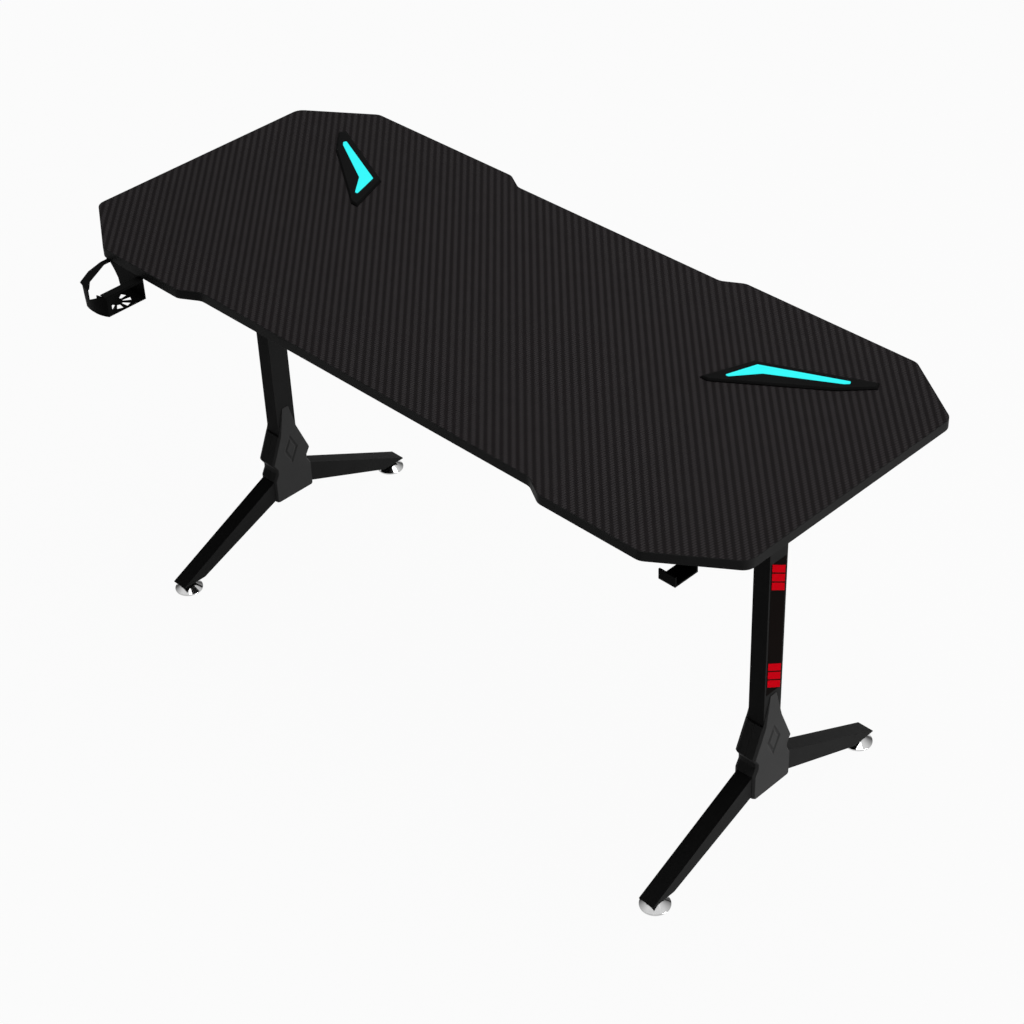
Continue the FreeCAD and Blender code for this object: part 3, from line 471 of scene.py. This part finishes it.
def soften(piece, width, shading):
    """Makes the flats of a piece whole, breaks its sharp edges by width and shades it."""
    weld(piece, "weld")
    flat = piece.modifiers.new("flat_faces", "DECIMATE")
    flat.decimate_type = "DISSOLVE"
    flat.angle_limit = FLAT_ANGLE
    if width:
        edge = piece.modifiers.new("soft_edges", "BEVEL")
        edge.width = width
        edge.segments = ROUNDING_STEPS
        edge.limit_method = "ANGLE"
        edge.angle_limit = SHARP_ANGLE
        weld(piece, "joined_edges")
    shade(piece, shading)


def dress_nodes(materials, shading):
    """Gives every solid its slot's material and softens its edges."""
    for row in frame["record"]["subparts"]:
        solid = NODES[row["node"]]
        slot = row["material_slot"]
        solid.data.materials.clear()
        solid.data.materials.append(materials[slot])
        soften(solid, ROUNDING.get(slot, 0), shading)


def new_piece(name, made, material):
    """A piece in the scene, from a finished bmesh."""
    mesh = bpy.data.meshes.new(name)
    made.to_mesh(mesh)
    made.free()
    mesh.materials.append(material)
    piece = bpy.data.objects.new(name, mesh)
    bpy.context.scene.collection.objects.link(piece)
    return piece


def lathe(profile, centre):
    """A closed ring turned from a profile of (radius, height) corners."""
    made = bmesh.new()
    rings = []
    for i in range(LATHE_STEPS):
        turn = 2 * math.pi * i / LATHE_STEPS
        rings.append([made.verts.new((centre[0] + r * math.cos(turn), centre[1] + r * math.sin(turn), z))
                      for r, z in profile])
    for ring, following in zip(rings, rings[1:] + rings[:1]):
        for j in range(len(profile)):
            k = (j + 1) % len(profile)
            made.faces.new((ring[j], following[j], following[k], ring[k]))
    bmesh.ops.recalc_face_normals(made, faces=made.faces)
    return made


def make_bells(materials, shading):
    """Polished glide bells, turned finely over the solids."""
    edge = BELL_LIFT + BELL_RIM
    profile = [(BELL_BORE, SEAT_HEIGHT), (SEAT_RADIUS, SEAT_HEIGHT), (SEAT_RADIUS, BELL_LIFT),
               (BELL_RADIUS, BELL_LIFT), (BELL_RADIUS, edge),
               (BELL_HUB, BELL_HEIGHT), (BELL_BORE, BELL_HEIGHT)]
    for end in GLIDES:
        low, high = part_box("glide_bell_" + end)
        centre = [(a + b) / 2 for a, b in zip(low, high)]
        bell = new_piece("bell_" + end, lathe(profile, centre), materials["bell_chrome"])
        soften(bell, ROUNDING["bell_chrome"], shading)
        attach(bell, "bell_" + end)
        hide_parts("glide_bell_" + end)


def islands(node):
    """Lowest and highest corner of each separate solid in a node."""
    made = bmesh.new()
    made.from_mesh(NODES[node].data)
    bmesh.ops.remove_doubles(made, verts=made.verts, dist=WELD)
    waiting = set(made.verts)
    boxes = []
    while waiting:
        group = [waiting.pop()]
        for vert in group:
            for edge in vert.link_edges:
                other = edge.other_vert(vert)
                if other in waiting:
                    waiting.remove(other)
                    group.append(other)
        places = [vert.co.copy() for vert in group]
        low, high = ([side(place[i] for place in places) for i in range(3)] for side in (min, max))
        boxes.append((Vector(low), Vector(high)))
    made.free()
    return sorted(boxes, key=lambda corners: tuple(corners[0]))


def outline_radius(outline, size, turn):
    """Distance from the axis to a circle, a hexagon or a cross at an angle."""
    if outline == "hexagon":
        return size / math.cos((turn + HEXAGON_HALF) % (2 * HEXAGON_HALF) - HEXAGON_HALF)
    if outline == "cross":
        near, far = sorted((abs(math.sin(turn)), abs(math.cos(turn))))
        return min(size / far, size * CROSS_SLIM_SHARE / max(near, CROSS_SLIM_SHARE))
    return size


def head_rows(rows, radius, height):
    """A head's rows in metres."""
    return [(outline, size * radius, rise * height) for outline, size, rise in rows]


def shank_rows(radius, length, tip_share):
    """Rows of a shank under the seat, from its tip up."""
    tip = ("round", radius * tip_share, -length)
    return [tip, ("round", radius, radius - length), ("round", radius, 0.0)]


def add_turned(made, seat, axis, rows):
    """A solid turned round an axis, row by row, from heights under its seat to heights over it."""
    side = axis.orthogonal().normalized()
    across = axis.cross(side)
    rings = []
    for outline, size, rise in rows:
        ring = []
        for i in range(HEAD_STEPS):
            turn = 2 * math.pi * i / HEAD_STEPS
            reach = outline_radius(outline, size, turn)
            out = side * math.cos(turn) + across * math.sin(turn)
            ring.append(made.verts.new(seat + out * reach + axis * rise))
        rings.append(ring)
    for low, high in zip(rings, rings[1:]):
        for i in range(HEAD_STEPS):
            k = (i + 1) % HEAD_STEPS
            made.faces.new((low[i], low[k], high[k], high[i]))
    made.faces.new(rings[0][::-1])
    made.faces.new(rings[-1])


def fastener_piece(name, node, made, materials, shading):
    """One piece of all the fasteners in made, in the place of a node of plain ones."""
    piece = new_piece(name, made, materials["bolt_steel"])
    shade(piece, shading)
    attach(piece, "desk")
    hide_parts(node)


def wood_screws():
    """Cross-head screws, driven up into the board."""
    made = bmesh.new()
    for low, high in islands("wood_screws"):
        middle = (low + high) / 2
        seat = Vector((middle.x, middle.y, low.z + SCREW_HEAD))
        shank = shank_rows(SCREW_SHANK, high.z - seat.z, SCREW_TIP_SHARE)
        head = head_rows(SCREW_ROWS, (high.x - low.x) / 2, SCREW_HEAD)
        add_turned(made, seat, Vector((0, 0, -1)), shank + head)
    return made


def rail_bolts():
    """Flanged hexagon bolts, their nuts on the outer side."""
    made = bmesh.new()
    for low, high in islands("rail_bolts"):
        middle = (low + high) / 2
        radius = (high.y - low.y) / 2
        near, far = sorted((low.x, high.x), key=abs)
        out = Vector((math.copysign(1, far), 0, 0))
        seat = Vector((near, middle.y, middle.z)) + out * BOLT_HEAD
        nut_seat = Vector((far, middle.y, middle.z)) - out * NUT_HEAD
        shank = shank_rows(BOLT_SHANK, (nut_seat - seat).length, BOLT_TIP_SHARE)
        head = head_rows(BOLT_ROWS, radius * BOLT_HEAD_SHARE, BOLT_HEAD)
        add_turned(made, seat, -out, shank + head)
        add_turned(made, nut_seat, out, head_rows(NUT_ROWS, radius, NUT_HEAD))
    return made


def seen_directly(tree):
    """1 for rays from the camera, or by way of gloss or glass."""
    path = add(tree, "LightPath")
    either = maths(tree, "MAXIMUM", path.outputs["Is Camera Ray"], path.outputs["Is Glossy Ray"])
    return maths(tree, "MAXIMUM", either, path.outputs["Is Transmission Ray"])


def floor_material():
    """Pale floor that is nearly white to the camera and still takes the shadow."""
    material, tree, shader, _ = new_material("studio_floor")
    shader.inputs["Base Color"].default_value = grey(FLOOR_TONE)
    shader.inputs["Roughness"].default_value = FLOOR_ROUGH
    set_specular(shader, 0.0)
    white = add(tree, "Emission", {"Color": grey(1.0), "Strength": 1.0})
    share = maths(tree, "MULTIPLY", seen_directly(tree), FLOOR_WHITE_SHARE)
    mixed = add(tree, "MixShader", {0: share, 1: shader.outputs[0], 2: white.outputs[0]})
    tree.links.new(mixed.outputs[0], tree.nodes["Material Output"].inputs["Surface"])
    return material


def make_stage():
    bpy.ops.mesh.primitive_plane_add(size=FLOOR_SIZE, location=(0, 0, 0))
    floor = bpy.context.object
    floor.name = "studio_floor"
    floor.data.materials.append(floor_material())


def make_world():
    """White to the camera, a weak fill for the object, and in gloss a dome with a dark foot."""
    world = bpy.data.worlds.new("studio")
    bpy.context.scene.world = world
    world.use_nodes = True
    tree = world.node_tree
    background = tree.nodes["Background"]
    background.inputs["Color"].default_value = grey(1.0)
    up = add(tree, "SeparateXYZ", {0: add(tree, "TexCoord").outputs["Generated"]}).outputs[2]
    dome = spread(tree, maths(tree, "MULTIPLY_ADD", up, DOME_RISE, DOME_START), DOME_FOOT, 1.0)
    path = add(tree, "LightPath")
    plain = maths(tree, "MAXIMUM", path.outputs["Is Camera Ray"], path.outputs["Is Transmission Ray"])
    gloss = maths(tree, "MULTIPLY", path.outputs["Is Glossy Ray"], dome)
    strength = spread(tree, maths(tree, "MAXIMUM", plain, gloss), FILL, 1.0)
    tree.links.new(strength, background.inputs["Strength"])


def make_light(name, place, target, size, power, in_gloss):
    """A rectangular softbox, turned to its target."""
    lamp = bpy.data.lights.new(name, "AREA")
    lamp.shape = "RECTANGLE"
    lamp.size, lamp.size_y = size
    lamp.energy = power
    holder = bpy.data.objects.new(name, lamp)
    bpy.context.scene.collection.objects.link(holder)
    holder.location = place
    aim = Vector(target) - Vector(place)
    holder.rotation_euler = aim.to_track_quat("-Z", "Y").to_euler()
    holder.visible_glossy = in_gloss


def make_camera():
    lens = bpy.data.cameras.new("photo_camera")
    lens.sensor_width = SENSOR
    lens.sensor_fit = "HORIZONTAL"
    lens.lens = FOCAL_PIXELS / IMAGE * SENSOR
    lens.clip_end = CAMERA_REACH
    camera = bpy.data.objects.new("photo_camera", lens)
    camera.location = CAMERA_PLACE
    level = Euler((math.radians(90 - CAMERA_ELEVATION), 0, math.radians(CAMERA_AZIMUTH))).to_matrix()
    roll = Matrix.Rotation(math.radians(CAMERA_ROLL), 3, "Z")
    camera.rotation_euler = (level @ roll).to_euler()
    bpy.context.scene.collection.objects.link(camera)
    bpy.context.scene.camera = camera


bpy.context.scene.view_settings.view_transform = "Standard"
MATERIALS = make_materials()
SHADING = shading_group()
dress_nodes(MATERIALS, SHADING)
make_bells(MATERIALS, SHADING)
fastener_piece("screw_heads", "wood_screws", wood_screws(), MATERIALS, SHADING)
fastener_piece("rail_bolt_heads", "rail_bolts", rail_bolts(), MATERIALS, SHADING)
make_stage()
make_world()
for name, softbox in SOFTBOXES.items():
    make_light(name, *softbox)
make_camera()
